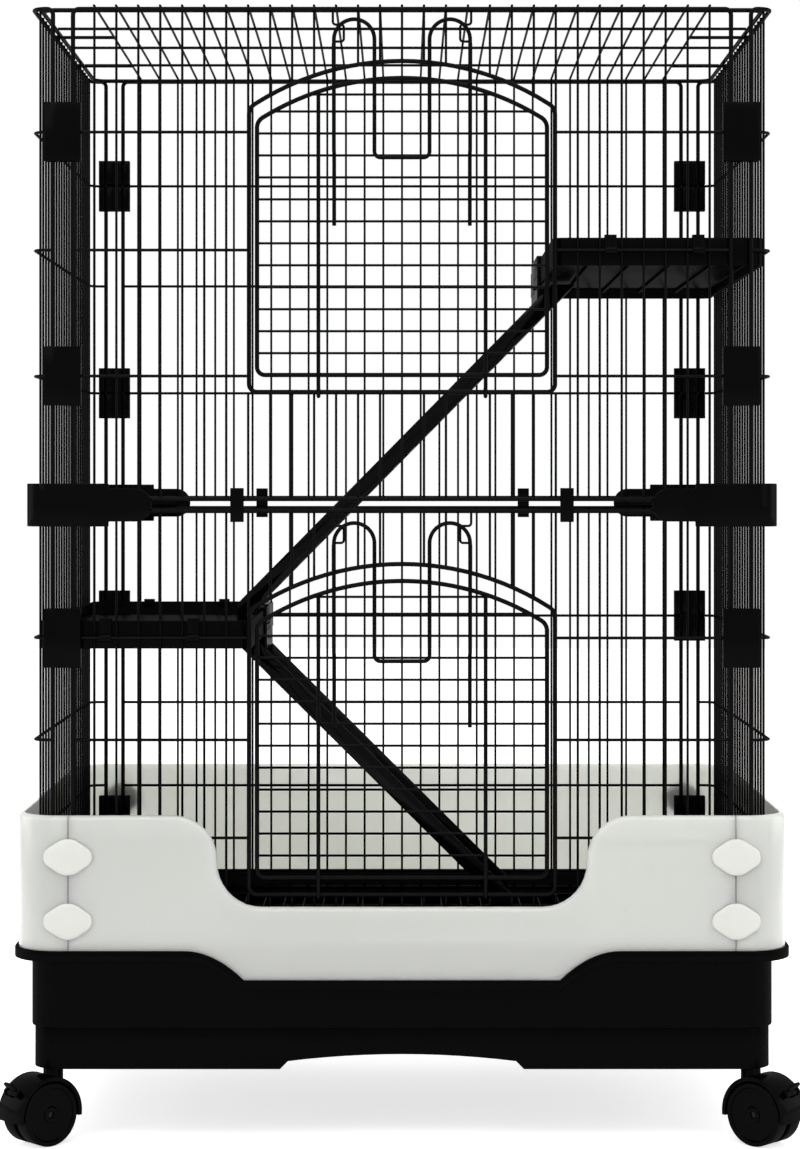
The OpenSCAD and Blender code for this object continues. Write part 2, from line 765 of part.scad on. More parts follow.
module storey_joint_rear_right() {
    color(plastic_black) mirror([0, 1, 0]) storey_joint();
}

module storey_joint_rear_left() {
    color(plastic_black) rotate(180) storey_joint();
}

// a clip round the two rails where the storeys meet
module rail_clip() {
    w = 13;
    h = storey_gap + 22;
    mouth = rail_d * 0.7;
    translate([0, 0, lower_top_z + storey_gap / 2]) difference() {
        translate([-w / 2, -clip_t / 2, -h / 2]) cube([w, clip_t, h]);
        for (z = [-storey_gap / 2, storey_gap / 2]) translate([-w, 0, z]) {
            rotate([0, 90, 0]) cylinder(r = rail_r + pin_fit, h = 2 * w);
            translate([0, 0, -mouth / 2]) cube([2 * w, clip_t, mouth]);
        }
    }
}

module rail_clips_front() {
    color(plastic_black) for (s = [-1, 1])
        translate([s * 7.5 * wire_pitch, -half_d, 0]) rail_clip();
}

module rail_clips_rear() {
    color(plastic_black) mirror([0, 1, 0]) for (x = [-7.5, 6.5])
        translate([x * wire_pitch, -half_d, 0]) rail_clip();
}

// ---------- shelves ----------

shelf_gap = 1.2;
shelf_r = 12;
shelf_out_x = half_w - mesh_in - shelf_gap;
shelf_in_x = shelf_out_x - shelf_w;
shelf_half_d = half_d - mesh_in - shelf_gap;
shelf_floor = shelf_h / 2;

// the shelf on the right side, its rim at the height z
module shelf(z) {
    module plan(inset) {
        translate([(shelf_in_x + shelf_out_x) / 2, 0])
            rounded_rect(shelf_w / 2 - inset, shelf_half_d - inset, shelf_r - inset);
    }
    rib_pitch = shelf_w / 5;
    translate([0, 0, z - shelf_h]) {
        linear_extrude(shelf_h) difference() {
            plan(0);
            plan(wall);
        }
        translate([0, 0, shelf_floor - wall]) linear_extrude(wall) plan(wall / 2);
        for (i = [1 : 4]) translate([shelf_in_x + i * rib_pitch - wall / 2, 1 - shelf_half_d, 6])
            cube([wall, 2 * shelf_half_d - 2, shelf_floor - wall - 5]);
    }
}

module upper_shelf() {
    color(plastic_black) shelf(upper_shelf_z);
}

module lower_shelf() {
    color(plastic_black) mirror([1, 0, 0]) shelf(lower_shelf_z);
}

// clips that hang a shelf's front and rear walls on the level wire at the height level
module shelf_clips(z, level) {
    w = 12;
    t = 2.5;
    lip = 6;
    rise = z - level + fit;
    // the clip's plate, between the mesh and the shelf's wall
    plate_y = half_d - cross_in - shelf_half_d - fit - t;
    first = (floor(shelf_in_x / wire_pitch) + 3.5) * wire_pitch;
    last = (floor((flat_edge_x - w) / wire_pitch) - 0.5) * wire_pitch;
    for (m = [0, 1], x = [first, last]) mirror([0, m, 0])
        translate([x - w / 2, cross_in - half_d, level])
        rotate([90, 0, 90]) linear_extrude(w) difference() {
            union() {
                circle(r = cross_r + pin_fit + t);
                translate([plate_y, 0]) square([t, rise + t]);
                translate([plate_y, rise]) square([wall + 2 * t + 2 * fit, t]);
                translate([plate_y + t + wall + 2 * fit, rise - lip]) square([t, lip + t]);
            }
            circle(r = cross_r + pin_fit);
            translate([-cross_r * 0.7, -2 * t - cross_r]) square([cross_r * 1.4, 2 * t + cross_r]);
        }
}

module upper_shelf_clips() {
    color(plastic_black) shelf_clips(upper_shelf_z, upper_levels[1]);
}

module lower_shelf_clips() {
    color(plastic_black) mirror([1, 0, 0]) shelf_clips(lower_shelf_z, lower_levels[2]);
}

// ---------- ramps ----------

// a ramp from the foot at the height foot_z, the distance run away from the shelf's edge, to
// the end under a right-hand shelf, with a hook over the shelf's rim
module ramp(rim, run, foot_z) {
    sole = 5;
    low = foot_z + fit;
    under_z = rim - shelf_h - fit;
    foot_x = shelf_in_x - run;
    across = run - sole + ramp_tuck;
    slope = atan2(under_z - low, across);
    len = across / cos(slope);
    slots = floor((len - ramp_tuck / cos(slope) - 40) / tread_pitch);
    slot_w = (ramp_w - 5 * wall) / 3;
    difference() {
        translate([foot_x + sole, ramp_y, low]) rotate([0, -slope, 0]) difference() {
            translate([-2 * ramp_wall, -ramp_w / 2, 0]) cube([len + 2 * ramp_wall, ramp_w, ramp_wall]);
            translate([-2 * ramp_wall - 1, wall - ramp_w / 2, wall])
                cube([len + 2 * ramp_wall + 2, ramp_w - 2 * wall, ramp_wall]);
            for (i = [0 : slots - 1], j = [-1 : 1])
                translate([20 + i * tread_pitch, j * (slot_w + wall) - slot_w / 2, -1])
                cube([tread_pitch - 9, slot_w, wall + 2]);
        }
        // the foot's flat sole and its upright end, and the room that the shelf takes
        translate([foot_x - 100, ramp_y - ramp_w, low - 100]) cube([200, 2 * ramp_w, 100]);
        translate([foot_x - 100, ramp_y - ramp_w, low - 100]) cube([100, 2 * ramp_w, 200]);
        translate([shelf_in_x - fit, ramp_y - ramp_w, under_z]) cube([100, 2 * ramp_w, 100]);
    }
    // hook over the shelf's rim, between the ramp's side walls
    hook_w = ramp_w - 2 * wall;
    lip = 6;
    plate_x = shelf_in_x - fit - wall;
    hook_low = under_z - (ramp_tuck + fit + wall / 2) * tan(slope) + wall * 0.75;
    translate([plate_x, ramp_y + hook_w / 2, 0]) rotate([90, 0, 0]) linear_extrude(hook_w) {
        translate([0, hook_low]) square([wall, rim + fit + wall - hook_low]);
        translate([0, rim + fit]) square([3 * wall + 2 * fit, wall]);
        translate([2 * (wall + fit), rim - lip]) square([wall, lip + fit + wall]);
    }
}

module upper_ramp() {
    color(plastic_black) ramp(upper_shelf_z, upper_run, lower_shelf_z - shelf_h + shelf_floor);
}

module lower_ramp() {
    color(plastic_black) mirror([1, 0, 0]) ramp(lower_shelf_z, lower_run, floor_top_z);
}

// ---------- casters ----------

hood_gap = 2;
hood_t = 4;
hood_r = wheel_r + hood_gap + hood_t;
web_t = 6;
axle_r = 3;
side_play = 0.5;
hood_w = web_t + 2 * (side_play + wheel_t);
web_r = 22;
stem_top = pan_z - 24;

// puts a caster at the corner (sx, sy), its wheels turned outwards
module at_corner(sx, sy) {
    translate([sx * stem_x, sy * stem_y, 0]) mirror([sx < 0 ? 1 : 0, 0, 0])
        mirror([0, sy > 0 ? 1 : 0, 0]) rotate(-caster_turn) translate([caster_trail, 0, 0])
        children();
}

pedal_w = 14;
pedal_pin_r = 1.5;
pedal_barrel_r = 3.2;
pedal_angle = 36;
pedal_pin_at = hood_r + fit + pedal_barrel_r;

// puts the pedal's pin along Y at the origin, +X away from the wheels
module at_pedal() {
    translate([0, 0, wheel_r]) rotate([0, -pedal_angle, 0]) translate([pedal_pin_at, 0, 0])
        children();
}

// hood and stem, with the wheel axle along Y above the origin
module caster_hood(pedal) {
    skirt_z = wheel_r - 5;
    lug_t = 3;
    color(plastic_black) {
        difference() {
            union() {
                translate([0, hood_w / 2, wheel_r]) rotate([90, 0, 0]) cylinder(r = hood_r, h = hood_w);
                translate([-caster_trail, 0, wheel_r])
                    cylinder(r = socket_r - 2, h = stand_z - fit - wheel_r);
                translate([-caster_trail, 0, wheel_r]) cylinder(r = stem_r, h = stem_top - wheel_r);
                if (pedal) for (m = [0, 1]) mirror([0, m, 0]) at_pedal()
                    translate([0, pedal_w / 2 + fit + lug_t, 0]) rotate([90, 0, 0])
                    linear_extrude(lug_t) union() {
                        circle(r = pedal_barrel_r + 0.8);
                        translate([-2 * pedal_barrel_r, -pedal_barrel_r])
                            square([2 * pedal_barrel_r, 2 * pedal_barrel_r]);
                    }
            }
            for (m = [0, 1]) mirror([0, m, 0]) translate([0, hood_w, wheel_r])
                rotate([90, 0, 0]) cylinder(r = wheel_r + hood_gap, h = hood_w - web_t / 2);
            // below its skirt the hood is only the web between the wheels
            for (m = [0, 1]) mirror([0, m, 0]) translate([-hood_r, web_t / 2, skirt_z - hood_r])
                cube([2 * hood_r, hood_w, hood_r]);
            translate([0, 0, wheel_r]) rotate([90, 0, 0]) difference() {
                translate([-hood_r, skirt_z - wheel_r - hood_r, -web_t])
                    cube([2 * hood_r, hood_r, 2 * web_t]);
                cylinder(r = web_r, h = 3 * web_t, center = true);
            }
            translate([0, hood_w, wheel_r]) rotate([90, 0, 0])
                cylinder(r = axle_r + pin_fit, h = 2 * hood_w);
        }
        if (pedal) at_pedal() translate([0, pedal_w / 2 + fit + lug_t, 0]) rotate([90, 0, 0])
            cylinder(r = pedal_pin_r, h = pedal_w + 2 * (fit + lug_t));
    }
}

module caster_axle() {
    color(axle_steel) translate([0, hood_w / 2 - 2, wheel_r]) rotate([90, 0, 0])
        cylinder(r = axle_r, h = hood_w - 4);
}

module caster_wheels() {
    inner = web_t / 2 + side_play;
    color(plastic_black) for (m = [0, 1]) mirror([0, m, 0])
        translate([0, inner + wheel_t, wheel_r]) rotate([90, 0, 0]) difference() {
            cylinder(r = wheel_r, h = wheel_t);
            translate([0, 0, -1]) cylinder(r = axle_r + pin_fit, h = wheel_t + 2);
            translate([0, 0, -1]) difference() {
                cylinder(r = wheel_r - 5, h = 3);
                translate([0, 0, -1]) cylinder(r = axle_r + 5, h = 5);
            }
        }
}

// the brake's pedal, which turns on its pin and slopes up and away from the hood
module brake_pedal() {
    tread = 11;
    tread_t = 3;
    color(plastic_black) at_pedal() translate([0, pedal_w / 2, 0]) rotate([90, 0, 0])
        linear_extrude(pedal_w) difference() {
            union() {
                circle(r = pedal_barrel_r);
                rotate(15) translate([0, pedal_barrel_r - tread_t]) square([tread, tread_t]);
            }
            circle(r = pedal_pin_r + pin_fit);
        }
}

module caster_hood_front_left() {
    at_corner(-1, -1) caster_hood(true);
}

module caster_hood_front_right() {
    at_corner(1, -1) caster_hood(true);
}

module caster_hood_rear_left() {
    at_corner(-1, 1) caster_hood(false);
}

module caster_hood_rear_right() {
    at_corner(1, 1) caster_hood(false);
}

module caster_axle_front_left() {
    at_corner(-1, -1) caster_axle();
}

module caster_axle_front_right() {
    at_corner(1, -1) caster_axle();
}

module caster_axle_rear_left() {
    at_corner(-1, 1) caster_axle();
}

module caster_axle_rear_right() {
    at_corner(1, 1) caster_axle();
}

module caster_wheels_front_left() {
    at_corner(-1, -1) caster_wheels();
}

module caster_wheels_front_right() {
    at_corner(1, -1) caster_wheels();
}

module caster_wheels_rear_left() {
    at_corner(-1, 1) caster_wheels();
}

module caster_wheels_rear_right() {
    at_corner(1, 1) caster_wheels();
}

module brake_pedal_front_left() {
    at_corner(-1, -1) brake_pedal();
}

module brake_pedal_front_right() {
    at_corner(1, -1) brake_pedal();
}

base_stand();
base_pan();
floor_grid();
guard_front();
guard_rear();
guard_left();
guard_right();
guard_clips();
lower_front_panel();
lower_rear_panel();
lower_left_panel();
lower_right_panel();
upper_front_panel();
upper_rear_panel();
upper_left_panel();
upper_right_panel();
top_panel();
lower_door();
upper_door();
lower_door_latch();
upper_door_latch();
corner_clips_front_left();
corner_clips_front_right();
corner_clips_rear_left();
corner_clips_rear_right();
storey_joint_front_left();
storey_joint_front_right();
storey_joint_rear_left();
storey_joint_rear_right();
rail_clips_front();
rail_clips_rear();
lower_shelf();
upper_shelf();
lower_shelf_clips();
upper_shelf_clips();
lower_ramp();
upper_ramp();
caster_hood_front_left();
caster_hood_front_right();
caster_hood_rear_left();
caster_hood_rear_right();
caster_axle_front_left();
caster_axle_front_right();
caster_axle_rear_left();
caster_axle_rear_right();
caster_wheels_front_left();
caster_wheels_front_right();
caster_wheels_rear_left();
caster_wheels_rear_right();
brake_pedal_front_left();
brake_pedal_front_right();
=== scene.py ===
"""Finishes a two-storey wire pet cage on casters and sets it in a plain studio, with lamps and a
camera.

All sizes are in metres, in the cage's own frame: +X right, +Y to the back, +Z up, with the
floor at z = 0.
"""

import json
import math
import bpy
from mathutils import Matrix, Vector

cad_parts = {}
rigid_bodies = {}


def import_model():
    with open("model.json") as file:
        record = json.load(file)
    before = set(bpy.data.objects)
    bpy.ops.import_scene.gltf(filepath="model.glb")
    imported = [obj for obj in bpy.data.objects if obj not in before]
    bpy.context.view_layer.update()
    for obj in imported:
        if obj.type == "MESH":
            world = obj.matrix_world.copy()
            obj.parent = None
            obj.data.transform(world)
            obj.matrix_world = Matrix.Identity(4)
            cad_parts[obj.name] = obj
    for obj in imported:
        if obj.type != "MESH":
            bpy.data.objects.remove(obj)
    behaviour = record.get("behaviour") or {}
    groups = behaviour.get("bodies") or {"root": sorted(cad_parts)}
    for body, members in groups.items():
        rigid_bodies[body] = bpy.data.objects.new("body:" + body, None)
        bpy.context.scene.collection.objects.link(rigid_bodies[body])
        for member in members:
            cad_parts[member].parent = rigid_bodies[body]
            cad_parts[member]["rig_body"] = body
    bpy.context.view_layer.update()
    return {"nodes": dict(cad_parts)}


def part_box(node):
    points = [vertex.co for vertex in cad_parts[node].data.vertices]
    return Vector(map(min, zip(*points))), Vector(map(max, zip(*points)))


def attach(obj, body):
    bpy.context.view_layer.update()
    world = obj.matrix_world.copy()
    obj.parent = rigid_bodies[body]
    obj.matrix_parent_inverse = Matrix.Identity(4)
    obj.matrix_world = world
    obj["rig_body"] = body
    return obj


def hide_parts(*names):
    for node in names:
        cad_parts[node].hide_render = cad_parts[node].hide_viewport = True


bl_info = {
    "name": "Two-storey wire pet cage",
    "version": (1, 0, 0),
    "blender": (4, 5, 0),
    "location": "View3D > Sidebar > Cage",
    "description": "Adds the moulded pieces, the finishes and the studio of a tall wire pet cage",
    "category": "Object",
}

import bmesh
import bpy
from mathutils import Vector

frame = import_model()

WIRE_NODES = [
    "lower_front_panel", "lower_rear_panel", "lower_left_panel", "lower_right_panel",
    "upper_front_panel", "upper_rear_panel", "upper_left_panel", "upper_right_panel",
    "top_panel", "floor_grid", "lower_door", "upper_door", "lower_door_latch",
    "upper_door_latch",
]
CORNERS = ["front_left", "front_right", "rear_left", "rear_right"]
CLIP_NODES = (
    [f"corner_clips_{corner}" for corner in CORNERS]
    + [f"storey_joint_{corner}" for corner in CORNERS]
    + ["rail_clips_front", "rail_clips_rear", "lower_shelf_clips", "upper_shelf_clips"]
)

# an edge that turns by more than this is sharp: it is rounded, or the shading breaks there
SHARP = math.radians(40)
# a node's triangles are joined where their corners and their planes differ by less than this
SAME_POINT = 2e-6
SAME_PLANE = math.radians(0.4)


# ---------- small tools ----------


def from_hex(text):
    """Turns an sRGB hex colour into linear red, green, blue and an alpha of 1."""
    parts = [int(text[i : i + 2], 16) / 255 for i in (1, 3, 5)]
    linear = [c / 12.92 if c <= 0.04045 else ((c + 0.055) / 1.055) ** 2.4 for c in parts]
    return (*linear, 1.0)


def body_of(node):
    """Name of the moving body that carries a node."""
    return frame["nodes"][node]["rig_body"]


def select_only(piece):
    """Makes one object the only selected and the active one."""
    bpy.ops.object.select_all(action="DESELECT")
    piece.hide_set(False)
    piece.select_set(True)
    bpy.context.view_layer.objects.active = piece


def select_where(piece, kind, wanted):
    """In edit mode, selects only the "faces" or the "edges" for which wanted(part) is true."""
    mesh = bmesh.from_edit_mesh(piece.data)
    parts = getattr(mesh, kind)
    for part in parts:
        part.select = False
    mesh.select_flush(False)
    for part in parts:
        if wanted(part):
            part.select = True
    bmesh.update_edit_mesh(piece.data)


def settle(piece):
    """Puts a finished piece's place into its mesh, so that its object sits at the origin."""
    select_only(piece)
    bpy.ops.object.transform_apply(location=True, rotation=True, scale=True)


def round_edges(piece, width, segments):
    """Rounds a piece's sharp edges and shades it smooth between them."""
    select_only(piece)
    bevel = piece.modifiers.new("rounded edges", "BEVEL")
    bevel.width = width
    bevel.segments = segments
    bevel.limit_method = "ANGLE"
    bevel.angle_limit = SHARP
    bpy.ops.object.modifier_apply(modifier=bevel.name)
    bpy.ops.object.shade_smooth_by_angle(angle=SHARP)


def merged_copy(node, name):
    """Copies a node's mesh, with its triangles joined into whole flat faces."""
    piece = bpy.data.objects.new(name, frame["nodes"][node].data.copy())
    bpy.context.scene.collection.objects.link(piece)
    select_only(piece)
    bpy.ops.object.mode_set(mode="EDIT")
    bpy.ops.mesh.select_all(action="SELECT")
    bpy.ops.mesh.remove_doubles(threshold=SAME_POINT)
    bpy.ops.mesh.dissolve_limited(angle_limit=SAME_PLANE)
    bpy.ops.object.mode_set(mode="OBJECT")
    return piece


def moulded_copy(node, name, width, segments=2):
    """Stands for a node with a copy of it whose edges are rounded as a mould leaves them."""
    piece = merged_copy(node, name)
    round_edges(piece, width, segments)
    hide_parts(node)
    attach(piece, body_of(node))
    return piece


def finish_with(piece, material):
    """Gives a piece its material."""
    piece.data.materials.clear()
    piece.data.materials.append(material)


# ---------- materials ----------

# a black piece's body has no shine of its own: all of its shine is that of a thin coat
MATT_BODY = {"Specular_IOR_Level": 0.0}
# the colour mix has several sockets of one name, so its colour sockets go by their places
MIX_DARK, MIX_LIGHT, MIX_COLOUR = 6, 7, 2


def add_node(tree, kind, values=None, links=None, **settings):
    """Adds a shader node, with its settings, its socket values and its incoming links."""
    node = tree.nodes.new(kind)
    for field, value in settings.items():
        setattr(node, field, value)
    for socket, value in (values or {}).items():
        node.inputs[socket].default_value = value
    for socket, source in (links or {}).items():
        tree.links.new(source, node.inputs[socket])
    return node


def surface(name, light, dark, grain, relief, rough, mottling, **shader_values):
    """A material with a fine surface grain and slow changes of colour and gloss.

    light and dark are the two colours it wanders between, grain is the size of one grain in
    metres and relief its height, rough is the lowest and the highest roughness, and mottling
    is the size of the slow changes.
    """
    material = bpy.data.materials.get(name)
    if material:
        return material
    material = bpy.data.materials.new(name)
    material.use_nodes = True
    tree = material.node_tree
    shader = tree.nodes["Principled BSDF"]
    for socket, value in shader_values.items():
        shader.inputs[socket.replace("_", " ")].default_value = value
    place = add_node(tree, "ShaderNodeTexCoord").outputs["Object"]
    fine = add_node(
        tree, "ShaderNodeTexNoise", {"Scale": 1 / grain, "Detail": 2.0}, {"Vector": place}
    )
    slow = add_node(
        tree, "ShaderNodeTexNoise", {"Scale": 1 / mottling, "Detail": 3.0}, {"Vector": place}
    )
    colour = add_node(
        tree, "ShaderNodeMix", data_type="RGBA", links={"Factor": slow.outputs["Fac"]}
    )
    colour.inputs[MIX_DARK].default_value = from_hex(dark)
    colour.inputs[MIX_LIGHT].default_value = from_hex(light)
    gloss = add_node(
        tree,
        "ShaderNodeMapRange",
        {"From Min": 0.3, "From Max": 0.7, "To Min": rough[0], "To Max": rough[1]},
        {"Value": slow.outputs["Fac"]},
    )
    bump = add_node(
        tree,
        "ShaderNodeBump",
        {"Strength": 0.6, "Distance": relief},
        {"Height": fine.outputs["Fac"]},
    )
    tree.links.new(colour.outputs[MIX_COLOUR], shader.inputs["Base Color"])
    tree.links.new(gloss.outputs["Result"], shader.inputs["Roughness"])
    tree.links.new(bump.outputs["Normal"], shader.inputs["Normal"])
    return material


def powder_coat(colours):
    """Baked powder on drawn steel wire: deep black, with a thin gloss and a faint orange peel."""
    return surface(
        "powder-coated steel wire", colours.wire, "#020203",
        grain=0.0016, relief=0.000015, rough=(0.22, 0.34), mottling=0.06,
        Coat_Weight=0.10, Coat_Roughness=0.08, **MATT_BODY,
    )


def black_polypropylene(colours):
    """Injection-moulded polypropylene from a spark-eroded mould: black with a soft sheen."""
    return surface(
        "moulded polypropylene", colours.base, "#020202",
        grain=0.0009, relief=0.00004, rough=(0.32, 0.44), mottling=0.12,
        Coat_Weight=0.045, Coat_Roughness=0.25, **MATT_BODY,
    )


def grained_polypropylene(colours):
    """Ramp plastic from a leather-grained mould: black, its gloss broken into small patches."""
    return surface(
        "grained polypropylene", colours.base, "#020202",
        grain=0.0035, relief=0.0005, rough=(0.20, 0.30), mottling=0.03,
        Coat_Weight=0.14, Coat_Roughness=0.06, **MATT_BODY,
    )


def white_polystyrene(colours):
    """High-gloss moulded polystyrene: warm white, clear reflections, a little light inside."""
    return surface(
        "gloss polystyrene", colours.guard, "#CED0C9",
        grain=0.02, relief=0.00003, rough=(0.10, 0.16), mottling=0.25,
        IOR=1.55, Specular_IOR_Level=0.25, Coat_Weight=0.45, Coat_Roughness=0.04,
        Subsurface_Weight=0.95, Subsurface_Scale=0.028, Subsurface_Radius=(1.0, 1.0, 0.95),
    )


def white_nylon(colours):
    """Moulded nylon clips: whiter and softer in gloss than the guard behind them."""
    return surface(
        "moulded white nylon", colours.guard_clip, "#DADAD4",
        grain=0.0012, relief=0.00003, rough=(0.28, 0.36), mottling=0.03, IOR=1.53,
        Subsurface_Weight=0.10, Subsurface_Scale=0.003, Subsurface_Radius=(1.0, 1.0, 0.95),
    )


def black_abs(colours):
    """Moulded ABS clips and joints: smooth black, glossier than the tray."""
    return surface(
        "moulded black ABS", colours.clip, "#020203",
        grain=0.0012, relief=0.00003, rough=(0.24, 0.32), mottling=0.03,
        Coat_Weight=0.06, Coat_Roughness=0.15, **MATT_BODY,
    )


def caster_nylon(colours):
    """Glass-filled nylon of the casters: black, with a fine mould grain and scuffed gloss."""
    return surface(
        "glass-filled nylon", colours.caster, "#020202",
        grain=0.0008, relief=0.00004, rough=(0.28, 0.42), mottling=0.015,
        Coat_Weight=0.07, Coat_Roughness=0.18, **MATT_BODY,
    )


def blackened_steel(colours):
    """Blackened steel of the axle pins: dark grey metal with a fine grain."""
    return surface(
        "blackened steel", colours.steel, "#1A1B1D",
        grain=0.0006, relief=0.00002, rough=(0.28, 0.4), mottling=0.01, Metallic=1.0,
    )


# ---------- sizes and colours that a user may change ----------


class CageColours(bpy.types.PropertyGroup):
    """Colours of the cage's finishes, as sRGB hex."""

    wire: bpy.props.StringProperty(
        name="Wire", description="Powder coat of the wire panels", default="#060607"
    )
    base: bpy.props.StringProperty(
        name="Base", description="Plastic of the tray and the stand", default="#050506"
    )
    guard: bpy.props.StringProperty(
        name="Guard", description="Plastic of the splash guard", default="#D2D4CD"
    )
    guard_clip: bpy.props.StringProperty(
        name="Guard clip", description="Plastic of the guard's clips", default="#E2E2DE"
    )
    clip: bpy.props.StringProperty(
        name="Clip", description="Plastic of the black clips and joints", default="#060607"
    )
    caster: bpy.props.StringProperty(
        name="Caster", description="Plastic of the casters", default="#050506"
    )
    steel: bpy.props.StringProperty(
        name="Steel", description="Metal of the caster axles", default="#26272A"
    )


class CageSizes(bpy.types.PropertyGroup):
    """Sizes of the details that the moulds give the plastic pieces."""

    guard_edge: bpy.props.FloatProperty(
        name="Guard edge", description="Radius of the guard's rolled edges", default=0.005,
        min=0.0005, max=0.0055, unit="LENGTH",
    )
    base_edge: bpy.props.FloatProperty(
        name="Base edge", description="Radius of the tray's and the stand's edges",
        default=0.0011, min=0.0002, max=0.0014, unit="LENGTH",
    )
    clip_edge: bpy.props.FloatProperty(
        name="Clip edge", description="Radius of the black clips' edges", default=0.0009,
        min=0.0002, max=0.0015, unit="LENGTH",
    )
    tray_edge: bpy.props.FloatProperty(
        name="Shelf edge", description="Radius of the shelves' and ramps' edges",
        default=0.0007, min=0.0002, max=0.0012, unit="LENGTH",
    )
    pillow_rise: bpy.props.FloatProperty(
        name="Clip rise", description="Height of a guard clip's soft peak", default=0.0028,
        min=0.0, max=0.0035, unit="LENGTH",
    )


# ---------- the pieces ----------


class CAGE_OT_wirework(bpy.types.Operator):
    """Coat the wire panels, the doors, the latches and the floor grid"""

    bl_idname = "cage.wirework"
    bl_label = "Wirework"

    def execute(self, context):
        coat = powder_coat(context.scene.cage_colours)
        for node in WIRE_NODES:
            finish_with(frame["nodes"][node], coat)
        return {"FINISHED"}


class CAGE_OT_base(bpy.types.Operator):
    """Mould the tray and the stand below it"""

    bl_idname = "cage.base"
    bl_label = "Tray and stand"

    def execute(self, context):
        edge = context.scene.cage_sizes.base_edge
        plastic = black_polypropylene(context.scene.cage_colours)
        for node, name in (("base_pan", "tray_moulding"), ("base_stand", "stand_moulding")):
            finish_with(moulded_copy(node, name, edge), plastic)
        return {"FINISHED"}


class CAGE_OT_guard(bpy.types.Operator):
    """Model the splash guard's four pieces, with their soft rolled edges"""

    bl_idname = "cage.guard"
    bl_label = "Splash guard"

    # depth of the front and the rear plate, from their outermost face inwards
    depth = 0.006
    roll_segments = 5
    # an edge this close to a seam belongs to it; a face this close to a plane lies in it
    near_seam = 0.002
    near_plane = 0.001
    # how far a face's normal may rise if it is upright, and how far it has to lean outwards,
    # downwards or along the plate's direction to count as facing that way
    upright = 0.5
    outwards = 0.3
    downwards = -0.3
    along = 0.99

    def roll_edges(self, piece, radius):
        """Rolls the outside's edges over, but for the foot and the seams' upright edges."""
        seam_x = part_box("guard_front")[1].x

        def outside(face):
            middle = face.calc_center_median().xy
            leans_out = face.normal.xy.dot(middle) > self.outwards * middle.length
            return abs(face.normal.z) < self.upright and leans_out

        def rolled(edge):
            if len(edge.link_faces) != 2 or edge.calc_face_angle() < SHARP:
                return False
            first, last = (vert.co.x for vert in edge.verts)
            keeps_x = abs(first - last) < self.near_seam
            at_seam = keeps_x and abs(abs(first) - seam_x) < self.near_seam
            at_foot = any(face.normal.z < self.downwards for face in edge.link_faces)
            return any(outside(face) for face in edge.link_faces) and not at_seam and not at_foot

        select_only(piece)
        bpy.ops.object.mode_set(mode="EDIT")
        select_where(piece, "edges", rolled)
        bpy.ops.mesh.bevel(offset=radius, segments=self.roll_segments, affect="EDGES")
        bpy.ops.object.mode_set(mode="OBJECT")
        bpy.ops.object.shade_smooth_by_angle(angle=SHARP)

    def plate(self, node, direction):
        """A guard piece as one thick plate, drawn from the node's large outer face."""
        piece = merged_copy(node, f"{node}_moulding")
        facing = [f for f in piece.data.polygons if f.normal.dot(direction) > self.along]
        # a face's area counts as well as how far out it lies, so that no narrow rim wins
        outer = max(facing, key=lambda face: face.center.dot(direction) + face.area)
        level = outer.center.dot(direction)
        if direction.z:
            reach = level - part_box(node)[0].z
        else:
            reach = self.depth
        bpy.ops.object.mode_set(mode="EDIT")
        select_where(
            piece,
            "faces",
            lambda face: face.normal.dot(direction) < self.along
            or abs(face.calc_center_median().dot(direction) - level) > self.near_plane,
        )
        bpy.ops.mesh.delete(type="FACE")
        bpy.ops.mesh.select_all(action="SELECT")
        bpy.ops.mesh.extrude_region_move(
            TRANSFORM_OT_translate={"value": tuple(-reach * direction)}
        )
        bpy.ops.mesh.select_all(action="SELECT")
        bpy.ops.mesh.normals_make_consistent(inside=False)
        bpy.ops.object.mode_set(mode="OBJECT")
        return piece

    def execute(self, context):
        radius = context.scene.cage_sizes.guard_edge
        plastic = white_polystyrene(context.scene.cage_colours)
        directions = {
            "guard_front": Vector((0, -1, 0)),
            "guard_rear": Vector((0, 1, 0)),
            "guard_left": Vector((0, 0, 1)),
            "guard_right": Vector((0, 0, 1)),
        }
        for node, direction in directions.items():
            piece = self.plate(node, direction)
            self.roll_edges(piece, radius)
            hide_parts(node)
            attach(piece, body_of(node))
            finish_with(piece, plastic)
        return {"FINISHED"}


def two_spans(values):
    """Splits values at their widest gap and gives the span of each of the two groups."""
    values = sorted(values)
    gaps = [b - a for a, b in zip(values, values[1:])]
    split = gaps.index(max(gaps)) + 1
    return (values[0], values[split - 1]), (values[split], values[-1])


